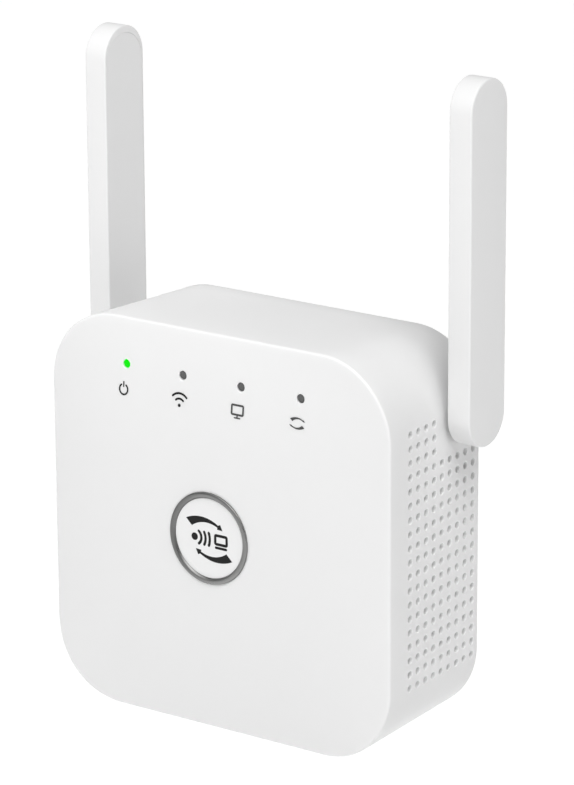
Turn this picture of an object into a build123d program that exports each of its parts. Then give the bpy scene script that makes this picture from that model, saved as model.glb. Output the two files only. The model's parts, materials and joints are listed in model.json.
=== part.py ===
"""Plug-in wifi range extender: a deep domed housing with side vents, two turning paddle antennas, a pairing
button, status lights, a network jack, two circuit boards and a mains plug.

Millimetres. X runs to the right seen from the front, Y from the front to the back, Z up. The origin is
the middle of the flat back of the case, the face against the mains outlet, so the case is at negative Y.
"""
import math
import os

from build123d import *

os.makedirs("parts", exist_ok=True)

# ---- case -------------------------------------------------------------------------------------------------
CASE_WIDTH = 79.7
CASE_HEIGHT = 79.6
CASE_DEPTH = 32.0  # back face to the rim where the domed front begins
DOME_HEIGHT = 3.05
CORNER_RADIUS = 15.5
DRAFT_ANGLE = 2.06  # degrees, the four sides close in towards the back
FRONT_EDGE_RADIUS = 1.4
BACK_EDGE_RADIUS = 0.8
WALL = 2.0
REAR_COVER_THICKNESS = 1.8
FIT_GAP = 0.15  # between pieces that drop into each other
SLIDE_GAP = 0.08  # round the button in its ring and the plungers in their switches
PRESS_GAP = 0.05  # round a screw, a cover or a light window in its hole
TOUCH_GAP = 0.03  # between pieces that rest on each other

HALF_WIDTH = CASE_WIDTH / 2
HALF_HEIGHT = CASE_HEIGHT / 2
RIM_Y = -CASE_DEPTH
DRAFT = math.tan(math.radians(DRAFT_ANGLE))

# ---- vents ------------------------------------------------------------------------------------------------
VENT_RADIUS = 0.65
VENT_PITCH = 2.79
VENT_COLUMNS = 9
VENT_ROWS = 19
VENT_FRONT_Y = RIM_Y + 7.0
SHORT_ROWS = 3  # the rows beside the antenna's end keep only their front holes
SHORT_COLUMNS = 4

# ---- front controls ---------------------------------------------------------------------------------------
LIGHT_NAMES = ("power", "wifi", "network", "pairing")
LIGHT_SPACING = 13.66
LIGHT_Z = 30.9
LIGHT_RADIUS = 0.84
LIGHT_RECESS = 0.12
LIGHT_FLANGE_RADIUS = 1.6
RING_OUTER_RADIUS = 9.15
RING_INNER_RADIUS = 8.0
RING_PROUD = 0.3
RING_SEAT_DEPTH = 1.0
RING_EDGE = 0.15
BUTTON_RADIUS = RING_INNER_RADIUS - SLIDE_GAP
BUTTON_RECESS = 0.35  # the button's face behind the front of its ring
BUTTON_EDGE = 0.15
BUTTON_FLANGE_RADIUS = 8.95
BUTTON_HOLE_RADIUS = RING_INNER_RADIUS + PRESS_GAP
BUTTON_POST_RADIUS = 2.4

# ---- antennas ---------------------------------------------------------------------------------------------
ANTENNA_INNER_X = 40.1
ANTENNA_THICKNESS = 5.0
ANTENNA_WIDTH = 12.15
ANTENNA_LENGTH = 70.8
ANTENNA_WALL = 1.15
ANTENNA_OUTER_EDGE = 0.4
ANTENNA_INNER_EDGE = 0.3
PIVOT_Y = -7.5
PIVOT_Z = 25.4
COVER_THICKNESS = 1.0
COVER_SIDE_MARGIN = 0.55
COVER_END_MARGIN = 1.5
PAD_X = 39.2  # face of the round pad that the antenna turns on
PAD_RADIUS = 4.4
INNER_PAD_RADIUS = 5.6  # the same pad inside the case
SPIGOT_RADIUS = 3.44
SPIGOT_BORE_RADIUS = 1.6
SPIGOT_END_X = 33.6
PIVOT_HOLE_RADIUS = 3.5
INNER_PAD_X = 35.9
PAD_MIDDLE_X = 37.0  # within the case wall
GROOVE_RADIUS = 2.9
GROOVE_X = (34.3, 35.0)
COAX_RADIUS = 0.68
LEAD_JOIN_X = 34.0

# ---- boards, screws and plug ------------------------------------------------------------------------------
BOARD_THICKNESS = 1.2
MAIN_BOARD_FRONT_Y = -24.0
MAIN_BOARD_BACK_Y = MAIN_BOARD_FRONT_Y + BOARD_THICKNESS
POWER_BOARD_BACK_Y = -4.8
POWER_BOARD_FRONT_Y = POWER_BOARD_BACK_Y - BOARD_THICKNESS
POWER_BOARD_HALF_WIDTH = 20.0
POWER_BOARD_Z = (-20.0, 24.0)
CASE_BOSS = (27.0, 31.5)
CASE_BOSS_RADIUS = 3.0
CASE_SCREW_RADIUS = 1.2
CASE_SCREW_HEAD_RADIUS = 2.5
CASE_HEAD_DEPTH = 1.0
STANDOFF_RADIUS = 2.5
STANDOFFS = ((30.0, 14.0), (30.0, -20.0))
POSTS = ((16.5, -16.5), (16.5, 20.5))
SMALL_SCREW_RADIUS = 0.9
SMALL_SCREW_HEAD_RADIUS = 1.7
BLADE_SPACING = 12.7
BLADE_WIDTH = 6.35
BLADE_THICKNESS = 1.5
BLADE_LENGTH = 16.5
BLADE_HOLE_RADIUS = 1.59
BLADE_HOLE_Y = 11.7
BLADE_TAIL_WIDTH = 3.0
COLLAR_Y = -3.6
TRANSFORMER_Y = POWER_BOARD_FRONT_Y - 4.5
TRANSFORMER_Z = 13.5
RESET_BODY_Z = -33.0

# flat packages, each with its middle (x, z), width, height and thickness
FRONT_CHIPS = {
    "wifi_chip": (0, -19, 10, 10, 0.9),
    "flash_chip": (20, -10, 5.2, 5.2, 1.7),
    "crystal": (19, -27, 5, 3.2, 1.1),
}
BACK_CHIPS = {
    "network_transformer": (3, -25, 9, 12, 4.5),
}
POWER_BOARD_CHIPS = {
    "bridge_rectifier": (-13, -6, 4.7, 4, 2.6),
    "controller_chip": (1.5, -5, 5, 4, 1.6),
    "output_diode": (12.3, -6, 4.5, 3.6, 2.3),
}
INPUT_CAPACITOR = (-13.2, 4.0, 12.0)  # x, radius and height
INPUT_CAPACITOR_Z = (3.0, 13.5)
OUTPUT_CAPACITOR = (13.0, 11.0, 3.15, 11.0)  # x, z, radius and height

# ---- network jack -----------------------------------------------------------------------------------------
JACK_X = (-20.0, -4.0)
JACK_TALL = 13.4
JACK_Z = (-36.7, -21.3)
JACK_SHIELD = 0.3
PLUG_WIDTH = 11.8
PLUG_HEIGHT = 6.8
PLUG_DEPTH = 12.0
LATCH_WIDTH = 6.2
LATCH_HEIGHT = 2.4
CONTACT_COUNT = 8
CONTACT_PITCH = 1.02
JACK_MIDDLE_X = sum(JACK_X) / 2
JACK_CAVITY_Y = MAIN_BOARD_BACK_Y + 3.4  # near side of the plug's opening
JACK_WINDOW_Y = (MAIN_BOARD_BACK_Y + 0.8, -10.6)

# ---- switches and the pins between the boards -------------------------------------------------------------
PAIRING_PLUNGER_RADIUS = 1.72
PAIRING_PLUNGER_Y = MAIN_BOARD_FRONT_Y - 4.3
RESET_X = 11.0
RESET_Y = -21.0
RESET_HOLE_RADIUS = 0.9
RESET_PLUNGER_RADIUS = 1.0
LINK_PIN_COUNT = 4
LINK_PIN_PITCH = 2.54
LINK_PIN_HALF = 0.32
LINK_X = 15.9
LINK_LOW_Z = -11.5


# ---- helpers ----------------------------------------------------------------------------------------------
def block(x, y, z):
    """A box from three (low, high) pairs."""
    centre = Pos((x[0] + x[1]) / 2, (y[0] + y[1]) / 2, (z[0] + z[1]) / 2)
    return centre * Box(abs(x[1] - x[0]), abs(y[1] - y[0]), abs(z[1] - z[0]))


def rod_x(y, z, x0, x1, radius):
    return Pos((x0 + x1) / 2, y, z) * Rot(0, 90, 0) * Cylinder(radius, abs(x1 - x0))


def rod_y(x, z, y0, y1, radius):
    return Pos(x, (y0 + y1) / 2, z) * Rot(90, 0, 0) * Cylinder(radius, abs(y1 - y0))


def rod_z(x, y, z0, z1, radius):
    return Pos(x, y, (z0 + z1) / 2) * Cylinder(radius, abs(z1 - z0))


def four_ways(places):
    """Each (x, z) place and its mirror image across the middle plane."""
    return [(side * x, z) for x, z in places for side in (-1, 1)]


def case_bosses():
    return [(sx * CASE_BOSS[0], sz * CASE_BOSS[1]) for sx in (-1, 1) for sz in (-1, 1)]


def save(shape, name):
    export_step(shape, f"parts/{name}.step")


def save_group(shapes, name):
    """Identical or related solids that share one node, kept separate."""
    save(Compound(children=[s.solid() for s in shapes]), name)


def dome_y(x, z):
    """Height of the domed front over the rim, as a Y value."""
    across = 1 - abs(x / HALF_WIDTH) ** 3
    along = 1 - abs(z / HALF_HEIGHT) ** 3
    return RIM_Y - DOME_HEIGHT * across * along


def in_front_of_dome(offset):
    """Everything in front of the dome moved back by offset."""
    reach = HALF_WIDTH + 2.5
    count = 25
    steps = [reach * (2 * i / (count - 1) - 1) for i in range(count)]
    points = [[Vector(x, dome_y(x, z) + offset, z) for x in steps] for z in steps]
    surface = Face.make_surface_from_array_of_points(points, tol=0.002, min_deg=3, max_deg=5)
    return Solid.extrude(surface, Vector(0, -12, 0))


def case_prism(inset, y_end):
    """The case's drafted outline, inset by a wall and running from in front of the dome to y_end."""
    start = RIM_Y - 5
    widening = -start - CASE_DEPTH
    half_x = HALF_WIDTH - inset + widening * DRAFT
    half_z = HALF_HEIGHT - inset + widening * DRAFT
    plane = Plane(origin=(0, start, 0), x_dir=(1, 0, 0), z_dir=(0, 1, 0))
    outline = plane * RectangleRounded(2 * half_x, 2 * half_z, CORNER_RADIUS - inset + widening * DRAFT)
    return extrude(outline, y_end - start, taper=DRAFT_ANGLE)


# ---- case pieces ------------------------------------------------------------------------------------------
def vent_holes():
    holes = []
    for side in (-1, 1):
        for row in range(VENT_ROWS):
            columns = SHORT_COLUMNS if row < SHORT_ROWS else VENT_COLUMNS
            for column in range(columns):
                y = VENT_FRONT_Y + column * VENT_PITCH
                z = (VENT_ROWS - 1) / 2 * VENT_PITCH - row * VENT_PITCH
                holes.append(rod_x(y, z, side * 35.5, side * 41.0, VENT_RADIUS))
    return holes


def front_housing():
    shell = case_prism(0, 0) - in_front_of_dome(0)
    rim = [e for e in shell.edges() if RIM_Y - 1 < e.center().Y < RIM_Y + 0.5 and e.length > 8]
    shell = fillet(rim, FRONT_EDGE_RADIUS)
    back = shell.faces().sort_by(Axis.Y)[-1]
    shell = fillet(back.edges(), BACK_EDGE_RADIUS)
    cavity = case_prism(WALL, 1) - in_front_of_dome(WALL)
    shell = shell - cavity
    boss_end = -REAR_COVER_THICKNESS - TOUCH_GAP
    standoff_end = MAIN_BOARD_FRONT_Y - TOUCH_GAP
    for x, z in case_bosses():
        front = dome_y(x, z) + WALL / 2
        shell = shell + rod_y(x, z, front, boss_end, CASE_BOSS_RADIUS)
    for x, z in four_ways(STANDOFFS):
        front = dome_y(x, z) + WALL / 2
        shell = shell + rod_y(x, z, front, standoff_end, STANDOFF_RADIUS)
    for side in (-1, 1):
        shell = shell + rod_x(PIVOT_Y, PIVOT_Z, side * INNER_PAD_X, side * PAD_MIDDLE_X, INNER_PAD_RADIUS)
        shell = shell + rod_x(PIVOT_Y, PIVOT_Z, side * PAD_MIDDLE_X, side * PAD_X, PAD_RADIUS)
    cuts = vent_holes()
    for x, z in case_bosses():
        cuts.append(rod_y(x, z, -16, 1, CASE_SCREW_RADIUS + PRESS_GAP))
    for x, z in four_ways(STANDOFFS):
        cuts.append(rod_y(x, z, MAIN_BOARD_FRONT_Y - 5.5, MAIN_BOARD_FRONT_Y, SMALL_SCREW_RADIUS + PRESS_GAP))
    for index in range(len(LIGHT_NAMES)):
        cuts.append(rod_y(light_x(index), LIGHT_Z, RIM_Y - 4, RIM_Y + 4, LIGHT_RADIUS + PRESS_GAP))
    cuts.append(rod_y(0, 0, RIM_Y - 5, RIM_Y, BUTTON_HOLE_RADIUS))
    seat_y = RIM_Y - DOME_HEIGHT + RING_SEAT_DEPTH
    cuts.append(rod_y(0, 0, RIM_Y - 5, seat_y, RING_OUTER_RADIUS + PRESS_GAP))
    for side in (-1, 1):
        cuts.append(rod_x(PIVOT_Y, PIVOT_Z, side * 33, side * 41, PIVOT_HOLE_RADIUS))
    cuts.append(block((JACK_MIDDLE_X - 7, JACK_MIDDLE_X + 7), JACK_WINDOW_Y, (-41, -36)))
    cuts.append(rod_z(RESET_X, RESET_Y, -41, -36, RESET_HOLE_RADIUS))
    return shell - cuts


def rear_cover():
    plate = case_prism(WALL + FIT_GAP, 0)
    plate = plate & block((-50, 50), (-REAR_COVER_THICKNESS, 0), (-50, 50))
    for side in (-1, 1):
        x = side * BLADE_SPACING / 2
        plate = plate + block((x - 2.6, x + 2.6), (COLLAR_Y, -1), (-5, 5))
    for x, z in four_ways(POSTS):
        plate = plate + rod_y(x, z, POWER_BOARD_BACK_Y + TOUCH_GAP, -1, STANDOFF_RADIUS)
    cuts = []
    for side in (-1, 1):
        x = side * BLADE_SPACING / 2
        half_thick = BLADE_THICKNESS / 2 + TOUCH_GAP
        half_wide = BLADE_WIDTH / 2 + TOUCH_GAP
        cuts.append(block((x - half_thick, x + half_thick), (-5, 1), (-half_wide, half_wide)))
    for x, z in case_bosses():
        cuts.append(rod_y(x, z, -3, 1, CASE_SCREW_RADIUS + 0.2))
        cuts.append(rod_y(x, z, -CASE_HEAD_DEPTH, 1, CASE_SCREW_HEAD_RADIUS + 0.15))
    for x, z in four_ways(POSTS):
        cuts.append(rod_y(x, z, -6, -1, SMALL_SCREW_RADIUS + PRESS_GAP))
    return plate - cuts


def button_trim_ring():
    front = RIM_Y - DOME_HEIGHT - RING_PROUD
    back = RIM_Y - DOME_HEIGHT + RING_SEAT_DEPTH - TOUCH_GAP
    ring = rod_y(0, 0, front, back, RING_OUTER_RADIUS) - rod_y(0, 0, front, back, RING_INNER_RADIUS)
    return chamfer(ring.edges().group_by(Axis.Y)[0], RING_EDGE)


def pairing_button():
    front = RIM_Y - DOME_HEIGHT - RING_PROUD + BUTTON_RECESS
    wall_inside = RIM_Y - DOME_HEIGHT + WALL
    cap = rod_y(0, 0, front, wall_inside + 0.5, BUTTON_RADIUS)
    cap = fillet(cap.edges().group_by(Axis.Y)[0], BUTTON_EDGE)
    flange = rod_y(0, 0, wall_inside + FIT_GAP, wall_inside + 1.1, BUTTON_FLANGE_RADIUS)
    post = rod_y(0, 0, wall_inside + 1, PAIRING_PLUNGER_Y - TOUCH_GAP, BUTTON_POST_RADIUS)
    return cap + flange + post


def light_x(index):
    return (index - (len(LIGHT_NAMES) - 1) / 2) * LIGHT_SPACING


def light_pipe(index):
    x = light_x(index)
    outer = dome_y(x, LIGHT_Z)
    flange = outer + WALL + 0.45
    pipe = rod_y(x, LIGHT_Z, outer + LIGHT_RECESS, MAIN_BOARD_FRONT_Y - 1.2, LIGHT_RADIUS)
    return pipe + rod_y(x, LIGHT_Z, flange, flange + 0.8, LIGHT_FLANGE_RADIUS)


# ---- main board and what is on it -------------------------------------------------------------------------
def main_board():
    plane = Plane(origin=(0, MAIN_BOARD_FRONT_Y, -1), x_dir=(1, 0, 0), z_dir=(0, 1, 0))
    board = extrude(plane * RectangleRounded(66, 70, 10), BOARD_THICKNESS)
    cuts = []
    for x, z in case_bosses():
        cuts.append(rod_y(x, z, -30, -20, CASE_BOSS_RADIUS + 0.6))
        cuts.append(block((x, x * 1.5), (-30, -20), (z - math.copysign(3, z), z * 1.5)))
    for x, z in four_ways(STANDOFFS):
        cuts.append(rod_y(x, z, -30, -20, SMALL_SCREW_RADIUS + 0.2))
    cuts += link_pins(SLIDE_GAP)
    return board - cuts


def front_chip(x, z, wide, tall, thick):
    """A flat package on the front of the main board."""
    face = MAIN_BOARD_FRONT_Y - TOUCH_GAP
    return block((x - wide / 2, x + wide / 2), (face - thick, face), (z - tall / 2, z + tall / 2))


def back_chip(x, z, wide, tall, thick):
    """A flat package on the back of the main board."""
    face = MAIN_BOARD_BACK_Y + TOUCH_GAP
    return block((x - wide / 2, x + wide / 2), (face, face + thick), (z - tall / 2, z + tall / 2))


def status_leds():
    return [front_chip(light_x(i), LIGHT_Z, 1.6, 1.2, 0.8) for i in range(len(LIGHT_NAMES))]


def shield_can():
    can = front_chip(0, -19, 22, 17, 2.6)
    return can - front_chip(0, -19, 21.5, 16.5, 2.35)


def switch_body():
    body = front_chip(0, 0, 6, 6, 3.4)
    return body - rod_y(0, 0, -40, MAIN_BOARD_FRONT_Y - 2.4, PAIRING_PLUNGER_RADIUS + SLIDE_GAP)


def switch_plunger():
    return rod_y(0, 0, PAIRING_PLUNGER_Y, MAIN_BOARD_FRONT_Y - 2.8, PAIRING_PLUNGER_RADIUS)


def reset_body():
    body = back_chip(RESET_X, RESET_BODY_Z, 6, 3.6, 3.5)
    return body - rod_z(RESET_X, RESET_Y, -40, RESET_BODY_Z - 0.2, RESET_PLUNGER_RADIUS + SLIDE_GAP)


def reset_plunger():
    return rod_z(RESET_X, RESET_Y, RESET_BODY_Z - 3.4, RESET_BODY_Z - 0.6, RESET_PLUNGER_RADIUS)


def jack_limits(inset):
    """The jack's box, less a wall all round but not at its mouth."""
    back = MAIN_BOARD_BACK_Y + TOUCH_GAP
    x = (JACK_X[0] + inset, JACK_X[1] - inset)
    return x, (back + inset, back + JACK_TALL - inset), (JACK_Z[0], JACK_Z[1] - inset)


def jack_shield():
    return block(*jack_limits(0)) - block(*jack_limits(JACK_SHIELD))


def jack_cavity():
    mid, near = JACK_MIDDLE_X, JACK_CAVITY_Y
    top = JACK_Z[0] + PLUG_DEPTH
    opening = block((mid - PLUG_WIDTH / 2, mid + PLUG_WIDTH / 2), (near, near + PLUG_HEIGHT), (-40, top))
    latch = block((mid - LATCH_WIDTH / 2, mid + LATCH_WIDTH / 2), (near - LATCH_HEIGHT, near), (-40, top))
    return opening + latch


def jack_housing():
    return block(*jack_limits(JACK_SHIELD + TOUCH_GAP)) - jack_cavity()


def jack_contacts():
    """Eight spring wires that lie along the far wall of the opening and rise towards its end."""
    far = JACK_CAVITY_Y + PLUG_HEIGHT - PRESS_GAP
    wires = []
    for i in range(CONTACT_COUNT):
        x = JACK_MIDDLE_X + (i - (CONTACT_COUNT - 1) / 2) * CONTACT_PITCH
        low = (far - 0.35, JACK_Z[0] + 1.5)
        high = (far - 2.0, JACK_Z[0] + 8.5)
        outline = Polyline(low, high, (high[0] + 0.35, high[1]), (far, low[1]), close=True)
        profile = Plane.YZ.offset(x - 0.2) * make_face(outline)
        wires.append(extrude(profile, 0.4))
    return wires


def link_header():
    y = (MAIN_BOARD_BACK_Y + TOUCH_GAP, MAIN_BOARD_BACK_Y + 2.6)
    z = (LINK_LOW_Z - 1.3, LINK_LOW_Z + (LINK_PIN_COUNT - 1) * LINK_PIN_PITCH + 1.3)
    return block((LINK_X - 2.5, LINK_X + 2.5), y, z) - link_pins(PRESS_GAP)


def link_pins(gap=0):
    """The four square pins between the boards, or their holes where a gap is given."""
    half = LINK_PIN_HALF + gap
    pins = []
    for i in range(LINK_PIN_COUNT):
        z = LINK_LOW_Z + LINK_PIN_PITCH * i
        pins.append(block((LINK_X - half, LINK_X + half), (MAIN_BOARD_FRONT_Y - 1, -4), (z - half, z + half)))
    return pins


# ---- power board and what is on it ------------------------------------------------------------------------
def power_board():
    x = (-POWER_BOARD_HALF_WIDTH, POWER_BOARD_HALF_WIDTH)
    board = block(x, (POWER_BOARD_FRONT_Y, POWER_BOARD_BACK_Y), POWER_BOARD_Z)
    cuts = link_pins(SLIDE_GAP)
    for side in (-1, 1):
        x = side * BLADE_SPACING / 2
        half = BLADE_TAIL_WIDTH / 2 + 0.15
        cuts.append(block((x - 0.9, x + 0.9), (-10, -3), (-half, half)))
    for x, z in four_ways(POSTS):
        cuts.append(rod_y(x, z, -10, -3, SMALL_SCREW_RADIUS + 0.2))
    return board - cuts


def on_power_board(x, z, wide, tall, thick):
    face = POWER_BOARD_FRONT_Y - TOUCH_GAP
    return block((x - wide / 2, x + wide / 2), (face - thick, face), (z - tall / 2, z + tall / 2))


def can_on_power_board(x, z, radius, height):
    face = POWER_BOARD_FRONT_Y - TOUCH_GAP
    can = rod_y(x, z, face - height, face, radius)
    return fillet(can.edges().group_by(Axis.Y)[0], 0.5)


def input_capacitors():
    x, radius, height = INPUT_CAPACITOR
    return [can_on_power_board(x, z, radius, height) for z in INPUT_CAPACITOR_Z]


def transformer_core():
    """Two E halves, drawn as one block with two windows."""
    core = block((-6.6, 6.6), (TRANSFORMER_Y - 3, TRANSFORMER_Y + 3), transformer_z(6.3))
    windows = [block((side * 2.1, side * 4.9), (-30, 0), transformer_z(4.3)) for side in (-1, 1)]
    return core - windows


def transformer_coil():
    coil = block((-4.75, 4.75), (TRANSFORMER_Y - 4.4, TRANSFORMER_Y + 4.4), transformer_z(4.15))
    coil = fillet(coil.edges().filter_by(Axis.Z), 1.0)
    return coil - block((-2.2, 2.2), (TRANSFORMER_Y - 3.1, TRANSFORMER_Y + 3.1), transformer_z(5))


def transformer_z(half):
    return TRANSFORMER_Z - half, TRANSFORMER_Z + half


def fuse_resistor():
    body = rod_x(POWER_BOARD_FRONT_Y - 1.7, -10.5, -6, 3, 1.5)
    return fillet(body.edges(), 0.5)


def filter_inductor():
    face = POWER_BOARD_FRONT_Y - TOUCH_GAP
    drum = rod_y(-2, -15.8, face - 7.5, face, 3.0)
    return drum - (rod_y(-2, -15.8, face - 6.3, face - 1.2, 3.1) - rod_y(-2, -15.8, face - 8, face, 2.5))


def safety_capacitor():
    disc = rod_x(POWER_BOARD_FRONT_Y - 3.8, 2, 11.5, 14.5, 3.6)
    return fillet(disc.edges(), 0.9)


# ---- plug -------------------------------------------------------------------------------------------------
def plug_blade(side):
    x = side * BLADE_SPACING / 2
    thick = (x - BLADE_THICKNESS / 2, x + BLADE_THICKNESS / 2)
    blade = block(thick, (COLLAR_Y - 0.02, BLADE_LENGTH), (-BLADE_WIDTH / 2, BLADE_WIDTH / 2))
    tip = blade.faces().sort_by(Axis.Y)[-1]
    blade = chamfer(tip.edges().filter_by(Axis.Z), 0.5)
    corners = [e for e in blade.edges().filter_by(Axis.X) if e.center().Y > BLADE_LENGTH - 1]
    blade = chamfer(corners, 0.9)
    tail = block((x - 0.75, x + 0.75), (-7.2, COLLAR_Y), (-BLADE_TAIL_WIDTH / 2, BLADE_TAIL_WIDTH / 2))
    return blade + tail - rod_x(BLADE_HOLE_Y, 0, x - 2, x + 2, BLADE_HOLE_RADIUS)


# ---- screws -----------------------------------------------------------------------------------------------
def screw(x, z, seat_y, toward, head_radius, head_height, radius, length):
    """A pan head with a cross recess. Its shank runs from the seat along Y, toward -1 or +1."""
    top = seat_y - toward * head_height
    head = rod_y(x, z, seat_y, top, head_radius)
    rim = [e for e in head.edges() if abs(e.center().Y - top) < 0.01 and e.geom_type == GeomType.CIRCLE]
    head = fillet(rim, head_height * 0.4)
    shank = rod_y(x, z, seat_y, seat_y + toward * length, radius)
    depth = (top + toward * head_height * 0.6, top - toward)
    arm = head_radius * 0.55
    slot = head_radius * 0.12
    cross = block((x - arm, x + arm), depth, (z - slot, z + slot))
    cross = cross + block((x - slot, x + slot), depth, (z - arm, z + arm))
    return head + shank - cross


def case_screws():
    seat = -CASE_HEAD_DEPTH + TOUCH_GAP
    size = (CASE_SCREW_HEAD_RADIUS, 0.85, CASE_SCREW_RADIUS, 13)
    return [screw(x, z, seat, -1, *size) for x, z in case_bosses()]


def board_screws():
    seat = MAIN_BOARD_BACK_Y + TOUCH_GAP
    size = (SMALL_SCREW_HEAD_RADIUS, 1.1, SMALL_SCREW_RADIUS, 6)
    return [screw(x, z, seat, -1, *size) for x, z in four_ways(STANDOFFS)]


def power_board_screws():
    seat = POWER_BOARD_FRONT_Y - TOUCH_GAP
    size = (SMALL_SCREW_HEAD_RADIUS, 1.1, SMALL_SCREW_RADIUS, 4.5)
    return [screw(x, z, seat, 1, *size) for x, z in four_ways(POSTS)]


# ---- antennas: the right one, mirrored for the left -------------------------------------------------------
def paddle(x0, x1, side_inset, end_inset):
    """The antenna's outline with round ends, between two X planes. Its lower end is round the pivot."""
    low = PIVOT_Z - ANTENNA_WIDTH / 2 + side_inset
    high = PIVOT_Z - ANTENNA_WIDTH / 2 + ANTENNA_LENGTH - end_inset
    place = Pos(PIVOT_Y, (low + high) / 2)
    outline = place * SlotOverall(high - low, ANTENNA_WIDTH - 2 * side_inset, rotation=90)
    return extrude(Plane.YZ.offset(x0) * outline, x1 - x0)


def antenna_shell():
    outer_x = ANTENNA_INNER_X + ANTENNA_THICKNESS
    shell = paddle(ANTENNA_INNER_X, outer_x, 0, 0)
    shell = fillet(shell.edges().group_by(Axis.X)[-1], ANTENNA_OUTER_EDGE)
    shell = fillet(shell.edges().group_by(Axis.X)[0], ANTENNA_INNER_EDGE)
    seat_x = ANTENNA_INNER_X + COVER_THICKNESS + TOUCH_GAP
    margins = (COVER_SIDE_MARGIN - PRESS_GAP, COVER_END_MARGIN - PRESS_GAP)
    shell = shell - paddle(ANTENNA_INNER_X - 1, seat_x, *margins)
    wall_end = COVER_END_MARGIN + ANTENNA_WALL - COVER_SIDE_MARGIN
    return shell - paddle(seat_x - 1, outer_x - ANTENNA_WALL, ANTENNA_WALL, wall_end)


def pivot_rod(x0, x1, radius):
    return rod_x(PIVOT_Y, PIVOT_Z, x0, x1, radius)


def antenna_cover():
    """The inset inner cover, with the hollow spigot that the antenna turns on."""
    cover = paddle(ANTENNA_INNER_X, ANTENNA_INNER_X + COVER_THICKNESS, COVER_SIDE_MARGIN, COVER_END_MARGIN)
    cover = cover + pivot_rod(PAD_X + 0.1, ANTENNA_INNER_X + 0.1, PAD_RADIUS - 0.2)
    cover = cover + pivot_rod(SPIGOT_END_X, ANTENNA_INNER_X, SPIGOT_RADIUS)
    groove = pivot_rod(*GROOVE_X, SPIGOT_RADIUS + 1) - pivot_rod(*GROOVE_X, GROOVE_RADIUS)
    return cover - groove - pivot_rod(SPIGOT_END_X - 1, ANTENNA_INNER_X + 2, SPIGOT_BORE_RADIUS)


def antenna_radiator():
    """A stamped strip: one arm up, and two arms down on both sides of the lead."""
    thick = (41.35, 41.75)
    lower = block(thick, (PIVOT_Y - 3.8, PIVOT_Y + 3.8), (34, 52))
    slot = block((41, 42), (PIVOT_Y - 1.2, PIVOT_Y + 1.2), (33, 50.2))
    upper = block(thick, (PIVOT_Y - 2.2, PIVOT_Y + 2.2), (51, 83))
    return lower - slot + upper


def routed_tube(points, bend_radius):
    """A round cable along straight runs joined by tangent arcs."""
    points = [Vector(*p) for p in points]
    pieces = []
    start = points[0]
    for before, corner, after in zip(points, points[1:], points[2:]):
        into = (corner - before).normalized()
        out = (after - corner).normalized()
        turn = math.radians(into.get_angle(out))
        setback = bend_radius * math.tan(turn / 2)
        middle = (out - into).normalized() * (bend_radius / math.cos(turn / 2) - bend_radius) + corner
        pieces.append(Line(start, corner - into * setback))
        pieces.append(ThreePointArc(corner - into * setback, middle, corner + out * setback))
        start = corner + out * setback
    pieces.append(Line(start, points[-1]))
    section = Plane(origin=points[0], z_dir=points[1] - points[0]) * Circle(COAX_RADIUS)
    return sweep(section, path=Wire(pieces))


def antenna_lead():
    """The antenna's half of the cable: down the paddle, then in along the pivot's axis."""
    x = 42.4
    route = [(x, PIVOT_Y, 49.5), (x, PIVOT_Y, PIVOT_Z), (LEAD_JOIN_X, PIVOT_Y, PIVOT_Z)]
    return routed_tube(route, 2.5)


def case_lead():
    """The case's half: from the pivot's axis to the back of the main board."""
    board_y = MAIN_BOARD_BACK_Y + COAX_RADIUS + 0.1
    route = [
        (LEAD_JOIN_X - 0.04, PIVOT_Y, PIVOT_Z),
        (25.5, PIVOT_Y, PIVOT_Z),
        (22.5, board_y + 0.1, 18.5),
        (14.0, board_y, 14.0),
    ]
    return routed_tube(route, 4.2)


def pivot_retainer():
    """An open ring that snaps into the spigot's groove."""
    x0, x1 = GROOVE_X[0] + TOUCH_GAP, GROOVE_X[1] - TOUCH_GAP
    ring = pivot_rod(x0, x1, 5.2) - pivot_rod(x0, x1, GROOVE_RADIUS + TOUCH_GAP)
    return ring - block((x0 - 1, x1 + 1), (PIVOT_Y - 2.3, PIVOT_Y + 2.3), (PIVOT_Z - 7, PIVOT_Z))


def friction_ring():
    middle_x = (GROOVE_X[1] + INNER_PAD_X) / 2
    section = (INNER_PAD_X - GROOVE_X[1]) / 2 - TOUCH_GAP
    place = Pos(middle_x, PIVOT_Y, PIVOT_Z) * Rot(0, 90, 0)
    return place * Torus(SPIGOT_RADIUS + section + TOUCH_GAP, section)


# ---- every piece ------------------------------------------------------------------------------------------
SIDE_PIECES = {
    "antenna_shell": antenna_shell,
    "antenna_cover": antenna_cover,
    "antenna_radiator": antenna_radiator,
    "antenna_lead": antenna_lead,
    "pivot_retainer": pivot_retainer,
    "friction_ring": friction_ring,
    "case_lead": case_lead,
}
PIECES = {
    "front_housing": front_housing(),
    "rear_cover": rear_cover(),
    "button_trim_ring": button_trim_ring(),
    "pairing_button": pairing_button(),
    "pairing_switch_body": switch_body(),
    "pairing_switch_plunger": switch_plunger(),
    "reset_switch_body": reset_body(),
    "reset_switch_plunger": reset_plunger(),
    "main_board": main_board(),
    "shield_can": shield_can(),
    "network_jack_housing": jack_housing(),
    "network_jack_shield": jack_shield(),
    "board_link_header": link_header(),
    "power_board": power_board(),
    "transformer_core": transformer_core(),
    "transformer_coil": transformer_coil(),
    "output_capacitor": can_on_power_board(*OUTPUT_CAPACITOR),
    "fuse_resistor": fuse_resistor(),
    "filter_inductor": filter_inductor(),
    "safety_capacitor": safety_capacitor(),
}
GROUPS = {
    "status_leds": status_leds(),
    "network_jack_contacts": jack_contacts(),
    "board_link_pins": link_pins(),
    "input_capacitors": input_capacitors(),
    "plug_blades": [plug_blade(side) for side in (-1, 1)],
    "case_screws": case_screws(),
    "board_screws": board_screws(),
    "power_board_screws": power_board_screws(),
}

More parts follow.
